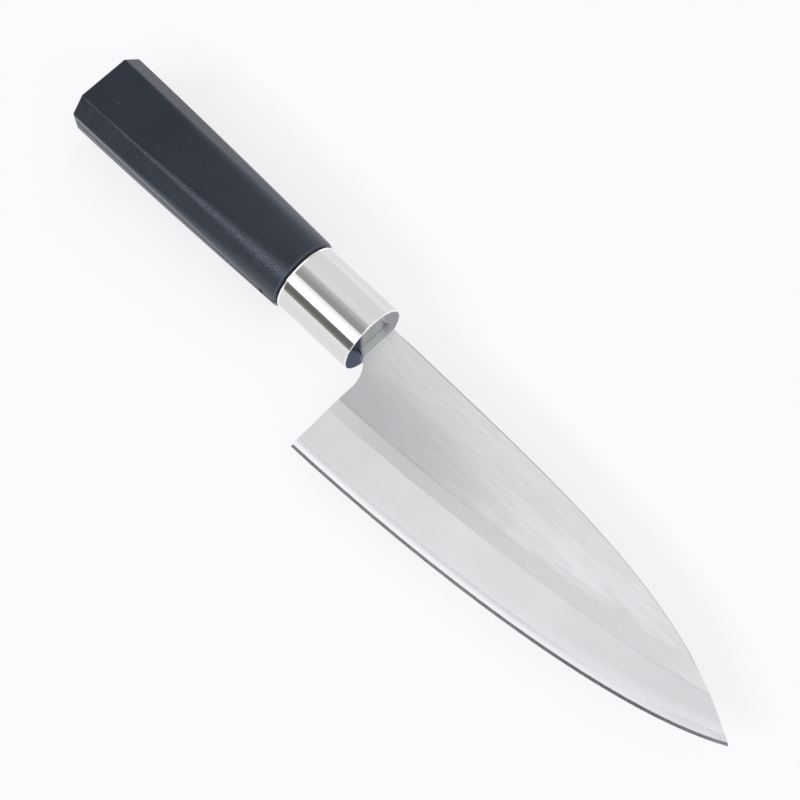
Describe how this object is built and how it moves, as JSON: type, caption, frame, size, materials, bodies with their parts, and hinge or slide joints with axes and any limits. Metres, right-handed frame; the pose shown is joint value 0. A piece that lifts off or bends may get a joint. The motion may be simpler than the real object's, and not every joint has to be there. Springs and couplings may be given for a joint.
{
  "type": "deba knife",
  "caption": "Right-handed single-bevel deba kitchen knife: deep stainless blade with a finger notch, plain round ferrule and a dark moulded handle with an octagonal butt.",
  "frame": {"origin": "under the middle of the knife's box, on the surface that it lies on", "axes": "+X from butt to tip along the handle's axis, +Y to the spine, +Z out of the bevelled face of the blade"},
  "size_m": [0.2912, 0.0572, 0.0263],
  "materials": {
    "blade_steel": "lengthwise brushed flat, satin bevel, polished strip at the edge",
    "ferrule_steel": "bright drawn and polished stainless steel",
    "handle_resin": "fine satin grain, dark blue-black",
    "bedding_resin": "cured filler, hidden"
  },
  "bodies": {
    "root": {"blade": "blade_steel", "ferrule": "ferrule_steel", "handle": "handle_resin", "tang_bedding": "bedding_resin"}
  },
  "joints": []
}
